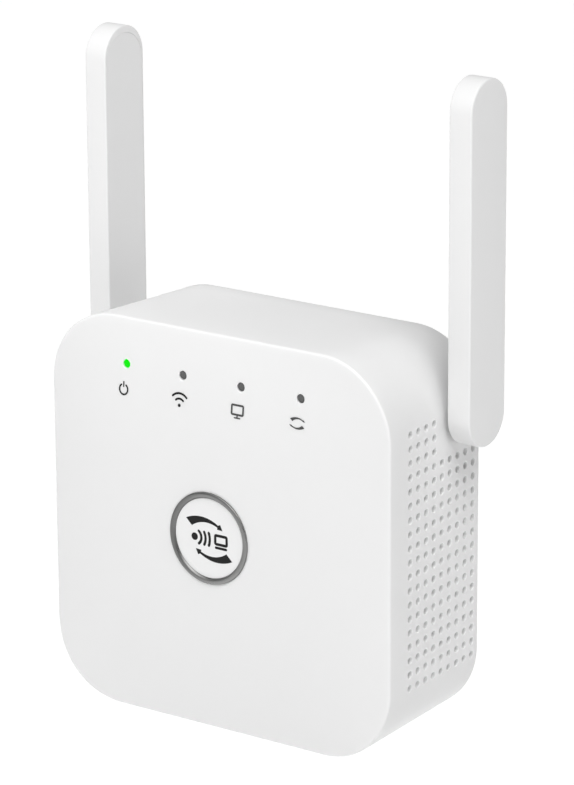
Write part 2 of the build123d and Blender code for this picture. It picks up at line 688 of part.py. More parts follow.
for name, size in FRONT_CHIPS.items():
    save(front_chip(*size), name)
for name, size in BACK_CHIPS.items():
    save(back_chip(*size), name)
for name, size in POWER_BOARD_CHIPS.items():
    save(on_power_board(*size), name)
for index, name in enumerate(LIGHT_NAMES):
    save(light_pipe(index), f"light_pipe_{name}")
for name, piece in PIECES.items():
    save(piece, name)
for name, pieces in GROUPS.items():
    save_group(pieces, name)
for name, make in SIDE_PIECES.items():
    right = make()
    save(right, f"{name}_right")
    save(mirror(right, about=Plane.YZ), f"{name}_left")
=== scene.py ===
"""Looks for the plug-in wifi range extender: detailed shells, printed symbols, materials, light and camera.

Lengths are in millimetres until MM turns them into Blender's metres. X runs to the right seen from the front,
Y from the front to the back, Z up, and the origin is the middle of the flat back. Rings are lists of points,
and a shape is a skin over rings, with holes and bosses put in by booleans.
"""
import json
import math

import bmesh
import bpy
from mathutils import Matrix, Vector


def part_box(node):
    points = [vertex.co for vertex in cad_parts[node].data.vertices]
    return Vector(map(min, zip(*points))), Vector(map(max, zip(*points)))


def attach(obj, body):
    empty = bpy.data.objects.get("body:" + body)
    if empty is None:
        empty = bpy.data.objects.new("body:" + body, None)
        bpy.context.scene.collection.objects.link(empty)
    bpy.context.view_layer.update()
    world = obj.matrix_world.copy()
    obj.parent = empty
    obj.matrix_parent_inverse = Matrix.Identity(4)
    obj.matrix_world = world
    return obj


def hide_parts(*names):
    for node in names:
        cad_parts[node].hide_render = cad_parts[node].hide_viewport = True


MM = 0.001
SIDES = {"right": 1, "left": -1}

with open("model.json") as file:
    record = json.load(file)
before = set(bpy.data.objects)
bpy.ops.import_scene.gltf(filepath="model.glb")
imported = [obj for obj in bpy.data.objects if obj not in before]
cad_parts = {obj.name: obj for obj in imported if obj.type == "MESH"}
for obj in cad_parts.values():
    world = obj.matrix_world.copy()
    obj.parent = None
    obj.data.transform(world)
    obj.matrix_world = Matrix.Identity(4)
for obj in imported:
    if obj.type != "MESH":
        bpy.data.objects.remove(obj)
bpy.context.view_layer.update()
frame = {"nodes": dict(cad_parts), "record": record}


def node_box(node):
    """Lowest and highest corner of a CAD node, in millimetres."""
    low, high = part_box(node)
    return low / MM, high / MM


# ---- sizes, nearly all of them the CAD model's ------------------------------------------------------------
# The case. Its sides taper towards the back by DRAFT.
HALF_WIDTH = 39.85
HALF_HEIGHT = 39.8
RIM_Y = -32.0
DOME_HEIGHT = 3.05
CORNER_RADIUS = 15.5
CORNER_X = HALF_WIDTH - CORNER_RADIUS
CORNER_Z = HALF_HEIGHT - CORNER_RADIUS
DRAFT = math.tan(math.radians(2.06))
WALL = 2.0
FRONT_EDGE = 0.45
BACK_EDGE = 0.8

# Vents: radii where a vent meets the surface and where it goes through, and the depth of the cone between.
VENT_MOUTH = 0.77
VENT_THROAT = 0.45
VENT_BOWL = 0.85
VENT_CUT_X = 35.5
VENT_PITCH = 2.79
VENT_COLUMNS = 9
VENT_ROWS = 19
VENT_FRONT_Y = RIM_Y + 7.0
SHORT_ROWS = 3
SHORT_COLUMNS = 4

# How finely the case's skin is divided.
CORNER_STEPS = 20
TOP_STEPS = 18
DOME_STEPS = 34
INNER_DOME_STEPS = 10

# Light windows, the ring and the button. The last two sit closer here than in the CAD model.
LIGHTS = ("power", "wifi", "network", "pairing")
LIGHT_LOW, LIGHT_HIGH = node_box("light_pipe_wifi")
LIGHT_Z = (LIGHT_LOW.z + LIGHT_HIGH.z) / 2
LIGHT_RADIUS = 0.84
LIGHT_HOLE = 0.89
LIGHT_HOLE_EDGE = 0.05
LIGHT_FLANGE_RADIUS = 1.6
LIGHT_FLANGE_THICKNESS = 0.8
LIGHT_FLANGE_GAP = 0.33
RING_LOW, RING_HIGH = node_box("button_trim_ring")
RING_OUTER = RING_HIGH.x
RING_INNER = 7.98
SEAT_Y = RIM_Y - DOME_HEIGHT + 1.0
BUTTON_LOW, BUTTON_HIGH = node_box("pairing_button")
BUTTON_RADIUS = 7.94
BUTTON_EDGE = 0.06
BUTTON_HOLE = RING_INNER + 0.07
BUTTON_FLANGE_RADIUS = 8.95
BUTTON_FLANGE_THICKNESS = 0.95
BUTTON_POST_RADIUS = 2.4

# Antennas: the pivot pad on the case, the paddle's shell, its cover, and the cover's spigot and collar.
PIVOT_Y = -7.5
PIVOT_Z = 25.4
PAD_X = 39.2
PAD_MIDDLE_X = 37.0
PAD_INNER_X = 35.9
PAD_RADIUS = 4.4
PAD_INNER_RADIUS = 5.6
PAD_EDGE = 0.2
PIVOT_HOLE = 3.5
PIVOT_CUT_X = (33, 41.5)
SHELL_LOW, SHELL_HIGH = node_box("antenna_shell_right")
PADDLE_RADIUS = (SHELL_HIGH.y - SHELL_LOW.y) / 2
PADDLE_TOP_Z = SHELL_HIGH.z - PADDLE_RADIUS
PADDLE_INNER_X = SHELL_LOW.x
PADDLE_OUTER_X = SHELL_HIGH.x
PADDLE_WALL = 1.15
PADDLE_OUTER_EDGE = 0.4
PADDLE_INNER_EDGE = 0.3
COVER_MARGIN = 0.55
COVER_GAP = 0.04
COVER_EDGE = 0.02
COVER_STEP = 0.015
COVER_STEP_DEPTH = 0.08
COVER_DROP = 0.95
COVER_THICKNESS = 1.0
SPIGOT_RADIUS = 3.44
SPIGOT_END_X = 33.6
SPIGOT_EDGE = 0.3
SPIGOT_BORE = 1.6
BORE_CUT_X = (33, 42)
GROOVE_X = (34.3, 35.0)
GROOVE_RADIUS = 2.9
COLLAR_RADIUS = 4.2
COLLAR_EDGE = 0.15
COLLAR_START_X = PAD_X + 0.1

# Bosses, standoffs and posts for the screws, and the openings in the underside.
CASE_BOSSES = [(sx * 27.0, sz * 31.5) for sx in (-1, 1) for sz in (-1, 1)]
BOSS_RADIUS = 3.0
BOSS_PILOT_RADIUS = 1.25
BOSS_PILOT_Y = (-16, 0.5)
STANDOFFS = [(sx * 30.0, z) for sx in (-1, 1) for z in (14.0, -20.0)]
POSTS = [(sx * 16.5, z) for sx in (-1, 1) for z in (-16.5, 20.5)]
POST_RADIUS = 2.5
POST_PILOT_RADIUS = 0.95
STANDOFF_PILOT_DEPTH = 5.5
POST_PILOT_Y = (-6, -1)
MAIN_BOARD_FRONT_Y = node_box("main_board")[0].y
POWER_BOARD_BACK_Y = node_box("power_board")[1].y
JACK_WINDOW = ((-19, -5), (-22, -10.6), (-41, -36))
RESET_PLACE = (11, -21)
RESET_HOLE = 0.9
RESET_HOLE_EDGE = 0.12
RESET_HOLE_Z = (-36, -39.4)

# Rear cover, blades and screws.
COVER_PLATE = 1.8
COVER_PLATE_EDGE = 0.25
FIT_GAP = 0.15
TOUCH_GAP = 0.03
BLADE_X = 6.35
BLADE_HALF_WIDE = 3.175
BLADE_HALF_THICK = 0.75
BLADE_TAIL_HALF_THICK = BLADE_HALF_THICK - 0.03
BLADE_TAIL_HALF_WIDE = 1.5
BLADE_TAIL_Y = -7.2
BLADE_END_Y = 16.5
BLADE_ROOT_Y = -3.62
BLADE_CORNER = 0.18
# How far each ring of a blade's tip is from its end, and how much thinner and narrower it is.
BLADE_TIP = ((1.1, 0, 0), (0.8, 0.03, 0.2), (0.5, 0.14, 0.5), (0.2, 0.32, 0.8), (0, 0.5, 1.0))
BLADE_HOLE_Y = 11.7
BLADE_HOLE_RADIUS = 1.59
BLADE_BLOCK = (2.6, 5)
BLADE_BLOCK_Y = (-3.6, -1)
BLADE_SLOT_Y = (-5, 1)
# (radius, y) along the well of a screw, from inside the cover to its back.
SCREW_WELL = ((1.4, -3), (1.4, -1), (2.65, -1), (2.65, -0.12), (2.77, 0), (2.77, 1))
SCREW_SEAT_Y = -0.97
SCREW_HEAD_RADIUS = 2.5
SCREW_SHANK_RADIUS = 1.2
SCREW_SHANK = 12
CROSS_DEPTH_Y = SCREW_SEAT_Y + 0.34


def light_x(index):
    low, high = node_box(f"light_pipe_{LIGHTS[index]}")
    return (low.x + high.x) / 2


def dome_y(x, z, back=0.0):
    """The domed front at (x, z), moved back into the case by a distance."""
    across = 1 - abs(x / HALF_WIDTH) ** 3
    along = 1 - abs(z / HALF_HEIGHT) ** 3
    return RIM_Y - DOME_HEIGHT * across * along + back


def corner_radius_at(y):
    """The case's corner radius where its drafted sides have reached y."""
    return CORNER_RADIUS - DRAFT * (y - RIM_Y)


# ---- mesh helpers -----------------------------------------------------------------------------------------
def arc(start, end, steps):
    """Angles from start to end in degrees, both included, as radians."""
    return [math.radians(start + (end - start) * i / steps) for i in range(steps + 1)]


def loft(rings, closed=False):
    """Points and faces of a skin over equal rings. Its ends are capped, or joined if it is closed."""
    count = len(rings[0])
    points = [p for ring in rings for p in ring]
    faces = []
    for i in range(len(rings) if closed else len(rings) - 1):
        here, there = i * count, (i + 1) % len(rings) * count
        for j in range(count):
            k = (j + 1) % count
            faces.append((here + j, here + k, there + k, there + j))
    if not closed:
        last = (len(rings) - 1) * count
        faces.append(tuple(range(count)))
        faces.append(tuple(last + j for j in range(count)))
    return points, faces


def turned(profile, axis, centre, steps=64, closed=False):
    """A turned shape. profile lists (radius, position along the axis), centre is in the other two axes."""
    rings = []
    for radius, along in profile:
        ring = []
        for a in arc(0, 360, steps)[:-1]:
            point = [centre[0] + radius * math.cos(a), centre[1] + radius * math.sin(a)]
            point.insert("xyz".index(axis), along)
            ring.append(point)
        rings.append(ring)
    return loft(rings, closed)


def rod(axis, centre, start, end, radius, steps=32):
    return turned([(radius, start), (radius, end)], axis, centre, steps)


def slab(x, y, z):
    """A box from three (low, high) pairs."""
    points = [(a, b, c) for a in x for b in y for c in z]
    faces = [(0, 1, 3, 2), (4, 6, 7, 5), (0, 4, 5, 1), (2, 3, 7, 6), (0, 2, 6, 4), (1, 5, 7, 3)]
    return points, faces


def join(parts):
    """Several (points, faces) as one."""
    points, faces = [], []
    for some_points, some_faces in parts:
        start = len(points)
        points += some_points
        faces += [tuple(start + i for i in face) for face in some_faces]
    return points, faces


def mesh_from(name, points, faces):
    mesh = bpy.data.meshes.new(name)
    mesh.from_pydata([Vector(p) * MM for p in points], [], faces)
    work = bmesh.new()
    work.from_mesh(mesh)
    bmesh.ops.recalc_face_normals(work, faces=work.faces)
    work.to_mesh(mesh)
    work.free()
    return mesh


def carved(name, body, bosses=None, cuts=None):
    """A mesh of body with bosses joined on and cuts taken out, each given as (points, faces)."""
    mesh = mesh_from(name, *body)
    for tool_shape, operation in ((bosses, "UNION"), (cuts, "DIFFERENCE")):
        if tool_shape is None:
            continue
        piece = bpy.data.objects.new("work", mesh)
        tool = bpy.data.objects.new("tool", mesh_from("tool", *tool_shape))
        bpy.context.scene.collection.objects.link(piece)
        bpy.context.scene.collection.objects.link(tool)
        modifier = piece.modifiers.new("boolean", "BOOLEAN")
        modifier.operation = operation
        modifier.solver = "EXACT"
        modifier.object = tool
        evaluated = piece.evaluated_get(bpy.context.evaluated_depsgraph_get())
        mesh = bpy.data.meshes.new_from_object(evaluated)
        mesh.name = name
        bpy.data.objects.remove(piece)
        bpy.data.objects.remove(tool)
    return mesh


def place(name, mesh, body, slot, *replaced, sharp=32, material=None):
    """Put a mesh in the scene as a piece that rides on a body, in the material of its slot."""
    piece = bpy.data.objects.new(name, mesh)
    bpy.context.scene.collection.objects.link(piece)
    mesh.shade_smooth()
    mesh.set_sharp_from_angle(angle=math.radians(sharp))
    mesh.materials.clear()
    mesh.materials.append(material or materials[slot])
    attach(piece, body)
    if replaced:
        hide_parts(*replaced)


# ---- materials --------------------------------------------------------------------------------------------
# A Mix node's sockets for colours go by number, because the ones for numbers and vectors have the same names.
MIX_FACTOR, MIX_LOW, MIX_HIGH, MIX_RESULT = 0, 6, 7, 2
# (angle round the ring in degrees, tone) of the painted reflections: lighter and darker fans painted round
# the ring
RING_PAINTED_REFLECTIONS = ((2, 0.6), (45, 0.6), (85, 0.85), (120, 0.65), (165, 0.95), (200, 0.75), (240, 1.0), (275, 0.8),
             (320, 0.55), (358, 0.6))


def add_node(tree, kind, **inputs):
    """A shader node with some of its sockets set. Underscores in a socket's name stand for spaces."""
    made = tree.nodes.new(kind)
    for name, value in inputs.items():
        made.inputs[name.replace("_", " ")].default_value = value
    return made


def shader_of(material):
    return material.node_tree.nodes["Principled BSDF"]


def finish(name, color, roughness, metallic=0.0, shade=0.03, spread=0.05, mottling=150.0, grain=2500.0,
           relief=0.004, stretch=(1, 1, 1), wear=0.0, specular=0.5):
    """A material whose colour, roughness and relief vary over the surface.

    shade and spread are the amounts by which colour and roughness vary. mottling and grain are how many broad
    and fine patches there are in a metre, relief is the grain's height in millimetres, stretch pulls both out
    along an axis, and wear is how far convex edges go towards bare, brighter material.
    """
    material = bpy.data.materials.new(name)
    material.use_nodes = True
    tree = material.node_tree
    shader = shader_of(material)
    shader.inputs["Metallic"].default_value = metallic
    shader.inputs["Specular IOR Level"].default_value = specular
    where = add_node(tree, "ShaderNodeTexCoord")
    mapping = add_node(tree, "ShaderNodeMapping", Scale=stretch)
    tree.links.new(where.outputs["Object"], mapping.inputs["Vector"])
    broad = add_node(tree, "ShaderNodeTexNoise", Scale=mottling, Detail=3.0)
    fine = add_node(tree, "ShaderNodeTexNoise", Scale=grain, Detail=2.0)
    for noise in (broad, fine):
        tree.links.new(mapping.outputs["Vector"], noise.inputs["Vector"])

    tint = add_node(tree, "ShaderNodeMix")
    tint.data_type = "RGBA"
    tint.inputs[MIX_HIGH].default_value = (*[min(1, c * (1 + shade)) for c in color], 1)
    tint.inputs[MIX_LOW].default_value = (*[c * (1 - shade) for c in color], 1)
    tree.links.new(broad.outputs["Fac"], tint.inputs[MIX_FACTOR])
    shown = tint.outputs[MIX_RESULT]
    if wear:
        geometry = add_node(tree, "ShaderNodeNewGeometry")
        edge = add_node(tree, "ShaderNodeMapRange", From_Min=0.51, From_Max=0.6, To_Max=wear)
        worn = add_node(tree, "ShaderNodeMix")
        worn.data_type = "RGBA"
        worn.inputs[MIX_HIGH].default_value = (*[min(1, c * 1.5 + 0.1) for c in color], 1)
        tree.links.new(geometry.outputs["Pointiness"], edge.inputs["Value"])
        tree.links.new(edge.outputs["Result"], worn.inputs[MIX_FACTOR])
        tree.links.new(shown, worn.inputs[MIX_LOW])
        shown = worn.outputs[MIX_RESULT]
    tree.links.new(shown, shader.inputs["Base Color"])

    gloss = add_node(tree, "ShaderNodeMapRange", From_Min=0.3, From_Max=0.7,
                     To_Min=roughness - spread, To_Max=roughness + spread)
    tree.links.new(broad.outputs["Fac"], gloss.inputs["Value"])
    tree.links.new(gloss.outputs["Result"], shader.inputs["Roughness"])
    bump = add_node(tree, "ShaderNodeBump", Strength=1.0, Distance=relief * MM)
    tree.links.new(fine.outputs["Fac"], bump.inputs["Height"])
    tree.links.new(bump.outputs["Normal"], shader.inputs["Normal"])
    return material


def white_plastic(name):
    """Satin moulded plastic with a fine spark texture."""
    return finish(name, (0.765, 0.765, 0.765), 0.5, shade=0.008, spread=0.04, mottling=40.0, grain=6000.0,
                  relief=0.001, specular=0.3)


def vented_plastic():
    """The same plastic on the vented wall. Light goes a little way in, so the small holes stay pale."""
    material = white_plastic("vented_white")
    shader = shader_of(material)
    shader.inputs["Subsurface Weight"].default_value = 1.0
    shader.inputs["Subsurface Radius"].default_value = (1.0, 1.0, 1.0)
    shader.inputs["Subsurface Scale"].default_value = 0.6 * MM
    return material


def brushed_ring():
    """Turned, plated metal with an anisotropic sheen, and painted reflections: soft lighter and darker fans
    painted round the ring by angle.
    """
    material = finish("satin_ring", (0.3, 0.3, 0.297), 0.3, metallic=1.0, shade=0.05, spread=0.05,
                      mottling=250.0, relief=0.001)
    tree = material.node_tree
    shader = shader_of(material)
    where = add_node(tree, "ShaderNodeTexCoord")
    upright = add_node(tree, "ShaderNodeMapping", Rotation=(math.radians(90), 0, 0))
    round_ring = add_node(tree, "ShaderNodeTexGradient")
    round_ring.gradient_type = "RADIAL"
    # Painted reflections: a tone for each angle round the ring, multiplied into the metal's colour.
    painted_reflections = add_node(tree, "ShaderNodeValToRGB")
    painted_reflections.color_ramp.interpolation = "B_SPLINE"
    ramp = painted_reflections.color_ramp.elements
    for angle, tone in RING_PAINTED_REFLECTIONS:
        stop = ramp.new(angle / 360)
        stop.color = (tone, tone, tone, 1)
    ramp.remove(ramp[-1])
    ramp.remove(ramp[0])
    painted_reflection_mix = add_node(tree, "ShaderNodeMix")
    painted_reflection_mix.data_type = "RGBA"
    painted_reflection_mix.blend_type = "MULTIPLY"
    painted_reflection_mix.inputs[MIX_FACTOR].default_value = 1.0
    base = shader.inputs["Base Color"].links[0].from_socket
    tree.links.new(where.outputs["Object"], upright.inputs["Vector"])
    tree.links.new(upright.outputs["Vector"], round_ring.inputs["Vector"])
    tree.links.new(round_ring.outputs["Fac"], painted_reflections.inputs["Fac"])
    tree.links.new(base, painted_reflection_mix.inputs[MIX_LOW])
    tree.links.new(painted_reflections.outputs["Color"], painted_reflection_mix.inputs[MIX_HIGH])
    tree.links.new(painted_reflection_mix.outputs[MIX_RESULT], shader.inputs["Base Color"])
    shader.inputs["Anisotropic"].default_value = 0.75
    tangent = add_node(tree, "ShaderNodeTangent")
    tangent.direction_type = "RADIAL"
    tangent.axis = "Y"
    tree.links.new(tangent.outputs["Tangent"], shader.inputs["Tangent"])
    return material


def window(name, color, glow=0.0):
    """A small tinted window, lit from behind by glow."""
    material = finish(name, color, 0.25, shade=0.06, mottling=1200.0, relief=0.001, specular=0.1)
    shader = shader_of(material)
    shader.inputs["Emission Color"].default_value = (0.0, 1.0, 0.0, 1)
    shader.inputs["Emission Strength"].default_value = glow
    return material


def printing_ink(name, tone, shade):
    return finish(name, (tone, tone, tone), 0.5, shade=shade, mottling=2000.0, relief=0.001, specular=0.15)


def all_materials():
    """One material for each slot of the record, the vented wall's plastic and the two printing inks."""
    made = {
        "white_case": white_plastic("white_case"),
        "vented_white": vented_plastic(),
        "satin_ring": brushed_ring(),
        "lit_green": window("lit_green", (0.0, 0.1, 0.0), 0.76),
        "unlit_grey": window("unlit_grey", (0.11, 0.11, 0.11)),
        "ink": printing_ink("ink", 0.012, 0.3),
        "grey_ink": printing_ink("grey_ink", 0.07, 0.2),
        "board_green": finish("board_green", (0.03, 0.2, 0.09), 0.35, shade=0.2, mottling=900.0, relief=0.01),
        "led_white": finish("led_white", (0.85, 0.84, 0.78), 0.2, shade=0.03, mottling=1500.0),
        "black_package": finish("black_package", (0.03, 0.03, 0.032), 0.55, shade=0.2, relief=0.01, wear=0.1),
        "plunger_plastic": finish("plunger_plastic", (0.08, 0.08, 0.085), 0.4, shade=0.1, wear=0.1),
        "capacitor_sleeve": finish("capacitor_sleeve", (0.05, 0.05, 0.08), 0.3, shade=0.15, mottling=500.0),
        "cable_jacket": finish("cable_jacket", (0.05, 0.05, 0.05), 0.5, shade=0.15, relief=0.008),
        "ring_rubber": finish("ring_rubber", (0.03, 0.03, 0.03), 0.75, shade=0.2, relief=0.008),
        "ferrite": finish("ferrite", (0.07, 0.07, 0.075), 0.6, shade=0.2, relief=0.012, wear=0.2),
        "coil_tape": finish("coil_tape", (0.8, 0.6, 0.1), 0.3, shade=0.08, stretch=(1, 1, 4), relief=0.01),
        "resistor_coat": finish("resistor_coat", (0.3, 0.42, 0.36), 0.45, shade=0.08, relief=0.01),
        "disc_coat": finish("disc_coat", (0.1, 0.25, 0.55), 0.3, shade=0.08, mottling=600.0, relief=0.02),
    }
    metals = {
        "tinned_steel": ((0.62, 0.62, 0.6), 0.32, (1, 1, 12)),
        "spring_steel": ((0.45, 0.45, 0.46), 0.3, (1, 6, 1)),
        "gold_contact": ((0.8, 0.58, 0.22), 0.22, (1, 1, 8)),
        "radiator_brass": ((0.75, 0.55, 0.24), 0.3, (1, 1, 10)),
        "blade_brass": ((0.68, 0.66, 0.6), 0.24, (1, 0.08, 1)),
        "screw_steel": ((0.55, 0.55, 0.56), 0.3, (1, 1, 1)),
    }
    for slot, (color, roughness, stretch) in metals.items():
        made[slot] = finish(slot, color, roughness, metallic=1.0, shade=0.08, spread=0.08, mottling=500.0,
                            relief=0.002, stretch=stretch, wear=0.4)
    return made


materials = all_materials()


# ---- front housing ----------------------------------------------------------------------------------------
def case_outline():
    """(base point, outward direction) round the case. A ring at corner radius r is base + direction * r."""
    half_rows = VENT_ROWS // 2
    side_stops = [(row + 0.5) * VENT_PITCH for row in range(-half_rows, half_rows)]
    top_stops = [CORNER_X * (1 - 2 * i / TOP_STEPS) for i in range(1, TOP_STEPS)]
    outline = [((CORNER_X, z), (1, 0)) for z in side_stops]
    outline += [((CORNER_X, CORNER_Z), (math.cos(a), math.sin(a))) for a in arc(0, 90, CORNER_STEPS)]
    outline += [((x, CORNER_Z), (0, 1)) for x in top_stops]
    outline += [((-CORNER_X, CORNER_Z), (math.cos(a), math.sin(a))) for a in arc(90, 180, CORNER_STEPS)]
    outline += [((-CORNER_X, z), (-1, 0)) for z in reversed(side_stops)]
    outline += [((-CORNER_X, -CORNER_Z), (math.cos(a), math.sin(a))) for a in arc(180, 270, CORNER_STEPS)]
    outline += [((x, -CORNER_Z), (0, -1)) for x in reversed(top_stops)]
    outline += [((CORNER_X, -CORNER_Z), (math.cos(a), math.sin(a))) for a in arc(270, 360, CORNER_STEPS)]
    return outline


def side_ring(outline, radius, y):
    return [(bx + nx * radius, y, bz + nz * radius) for (bx, bz), (nx, nz) in outline]


def rim_corner(base, direction, inset):
    """Where a side wall and the dome meet, both moved into the case by inset."""
    radius = CORNER_RADIUS - inset
    x = base[0] + direction[0] * radius
    z = base[1] + direction[1] * radius
    return Vector((x, dome_y(x, z, inset), z))


def rounded_rim(outline, steps=6):
    """Rings of the front edge's rounding, from the side wall to the dome."""
    rings = [[] for _ in range(steps + 1)]
    for base, direction in outline:
        corner = rim_corner(base, direction, 0)
        radius = corner_radius_at(corner.y + FRONT_EDGE)
        side_x = base[0] + direction[0] * radius
        side_z = base[1] + direction[1] * radius
        start = Vector((side_x, corner.y + FRONT_EDGE, side_z))
        x = corner.x - direction[0] * FRONT_EDGE
        z = corner.z - direction[1] * FRONT_EDGE
        end = Vector((x, dome_y(x, z), z))
        for i in range(steps + 1):
            t = i / steps
            a, b, c = (1 - t) ** 2, 2 * t * (1 - t) * math.sqrt(0.5), t * t
            rings[i].append((start * a + corner * b + end * c) / (a + b + c))
    return rings


def dome_rings(edge, hole_radius, back, steps):
    """Rings over the dome from an edge ring in to a round hole, without the edge itself."""
    rings = []
    for i in range(1, steps + 1):
        t = i / steps
        ring = []
        for point in edge:
            angle = math.atan2(point[2], point[0])
            x = point[0] * (1 - t) + hole_radius * math.cos(angle) * t
            z = point[2] * (1 - t) + hole_radius * math.sin(angle) * t
            ring.append((x, dome_y(x, z, back), z))
        rings.append(ring)
    return rings


def hole_ring(outline_ring, radius, y):
    """A flat ring round the button's axis, its points at the angles of another ring."""
    angles = [math.atan2(point[2], point[0]) for point in outline_ring]
    return [(radius * math.cos(a), y, radius * math.sin(a)) for a in angles]


def housing_skin():
    """The closed skin of the shell: outside, back rim, inside and the round seat of the button ring."""
    outline = case_outline()
    stops = [VENT_FRONT_Y + (c - 0.5) * VENT_PITCH for c in range(VENT_COLUMNS)] + [-BACK_EDGE]
    seat = RING_OUTER + TOUCH_GAP
    rim = rounded_rim(outline)
    rings = [hole_ring(rim[0], BUTTON_HOLE, SEAT_Y), hole_ring(rim[0], seat, SEAT_Y)]
    rings += reversed(dome_rings(rim[-1], seat, 0, DOME_STEPS))
    rings += reversed(rim)
    rings += [side_ring(outline, corner_radius_at(y), y) for y in stops]
    for angle in arc(0, 90, 5)[1:]:
        radius = corner_radius_at(0) - BACK_EDGE * (1 - math.cos(angle))
        rings.append(side_ring(outline, radius, BACK_EDGE * (math.sin(angle) - 1)))
    rings += [side_ring(outline, corner_radius_at(y) - WALL, y) for y in [0] + stops[::-1]]
    inner_corner = [rim_corner(base, direction, WALL) for base, direction in outline]
    rings.append(inner_corner)
    rings += dome_rings(inner_corner, BUTTON_HOLE, WALL, INNER_DOME_STEPS)
    return loft(rings, closed=True)


def housing_stands():
    """Screw bosses, board standoffs and the two pivot pads."""
    parts = []
    for x, z in CASE_BOSSES:
        parts.append(rod("y", (x, z), dome_y(x, z, WALL / 2), -COVER_PLATE - TOUCH_GAP, BOSS_RADIUS))
    for x, z in STANDOFFS:
        parts.append(rod("y", (x, z), dome_y(x, z, WALL / 2), MAIN_BOARD_FRONT_Y - TOUCH_GAP, POST_RADIUS))
    for side in SIDES.values():
        profile = [
            (PAD_INNER_RADIUS, PAD_INNER_X),
            (PAD_INNER_RADIUS, PAD_MIDDLE_X),
            (PAD_RADIUS, PAD_MIDDLE_X),
            (PAD_RADIUS, PAD_X - PAD_EDGE),
            (PAD_RADIUS - PAD_EDGE, PAD_X),
        ]
        parts.append(turned([(radius, side * x) for radius, x in profile], "x", (PIVOT_Y, PIVOT_Z)))
    return join(parts)


def vent_places():
    """(y, z) of every vent on one side. The top rows are short, to leave room for the antenna's pivot."""
    for row in range(VENT_ROWS):
        for column in range(SHORT_COLUMNS if row < SHORT_ROWS else VENT_COLUMNS):
            yield VENT_FRONT_Y + column * VENT_PITCH, ((VENT_ROWS - 1) / 2 - row) * VENT_PITCH


def vent_cutter(side, y, z):
    """One vent: a cone sunk in the outside of the wall narrows to a throat, which goes through."""
    surface = CORNER_X + corner_radius_at(y)
    profile = [
        (VENT_THROAT, VENT_CUT_X),
        (VENT_THROAT, surface - VENT_BOWL),
        (VENT_MOUTH, surface),
        (VENT_MOUTH, surface + 1),
    ]
    return turned([(radius, side * x) for radius, x in profile], "x", (y, z), 24)


def flared(axis, centre, inside, surface, radius, edge, steps=24):
    """A cutter for a hole with a small chamfer where it comes out at a surface."""
    out = 1 if surface > inside else -1
    profile = [
        (radius, inside),
        (radius, surface - out * edge),
        (radius + edge, surface),
        (radius + edge, surface + out),
    ]
    return turned(profile, axis, centre, steps)


def housing_cuts():
    """Cutters for the vents, pivots, light windows, screws, network jack and reset hole."""
    parts = []
    for side in SIDES.values():
        parts += [vent_cutter(side, y, z) for y, z in vent_places()]
        start, end = (side * x for x in PIVOT_CUT_X)
        parts.append(rod("x", (PIVOT_Y, PIVOT_Z), start, end, PIVOT_HOLE, 48))
    for index in range(len(LIGHTS)):
        x = light_x(index)
        front = dome_y(x, LIGHT_Z)
        parts.append(flared("y", (x, LIGHT_Z), RIM_Y + 2 * WALL, front, LIGHT_HOLE, LIGHT_HOLE_EDGE, 40))
    for x, z in CASE_BOSSES:
        parts.append(rod("y", (x, z), *BOSS_PILOT_Y, BOSS_PILOT_RADIUS))
    for x, z in STANDOFFS:
        start = MAIN_BOARD_FRONT_Y - STANDOFF_PILOT_DEPTH
        parts.append(rod("y", (x, z), start, MAIN_BOARD_FRONT_Y + 0.5, POST_PILOT_RADIUS))
    parts.append(slab(*JACK_WINDOW))
    parts.append(flared("z", RESET_PLACE, *RESET_HOLE_Z, RESET_HOLE, RESET_HOLE_EDGE))
    return join(parts)


def make_housing():
    mesh = carved("housing_shell", housing_skin(), housing_stands(), housing_cuts())
    vented = materials["vented_white"]
    place("housing_shell", mesh, "case", "white_case", "front_housing", material=vented)


# ---- antennas ---------------------------------------------------------------------------------------------
def paddle_ring(side, x, radius, end_drop=0.0):
    """A long ring with round ends, in a plane across X. end_drop lowers the centre of the top end."""
    top = PADDLE_TOP_Z - end_drop
    stops = [PIVOT_Z + (top - PIVOT_Z) * i / 12 for i in range(1, 12)]
    outline = [(radius * math.cos(a), top + radius * math.sin(a)) for a in arc(0, 180, 32)]
    outline += [(-radius, z) for z in reversed(stops)]
    outline += [(radius * math.cos(a), PIVOT_Z + radius * math.sin(a)) for a in arc(180, 360, 32)]
    outline += [(radius, z) for z in stops]
    return [(side * x, PIVOT_Y + y, z) for y, z in outline]


def make_antenna_shell(name, side):
    """The open paddle: a rounded outer face, and a recess on the inner face for the cover."""
    radius = PADDLE_RADIUS
    opening = radius - COVER_MARGIN + COVER_GAP
    inside = radius - PADDLE_WALL
    seat_x = PADDLE_INNER_X + COVER_THICKNESS + TOUCH_GAP
    rings = []
    for a in arc(0, 90, 7):
        x = PADDLE_OUTER_X - PADDLE_OUTER_EDGE * (1 - math.cos(a))
        rings.append(paddle_ring(side, x, radius - PADDLE_OUTER_EDGE * (1 - math.sin(a))))
    for a in arc(90, 0, 5):
        x = PADDLE_INNER_X + PADDLE_INNER_EDGE * (1 - math.cos(a))
        rings.append(paddle_ring(side, x, radius - PADDLE_INNER_EDGE * (1 - math.sin(a))))
    for x, recess in ((PADDLE_INNER_X, opening), (seat_x, opening), (seat_x, inside),
                      (PADDLE_OUTER_X - PADDLE_WALL, inside)):
        rings.append(paddle_ring(side, x, recess, COVER_DROP))
    mesh = mesh_from(f"paddle_{name}", *loft(rings))
    place(f"paddle_{name}", mesh, f"antenna_{name}", "white_case", f"antenna_shell_{name}")


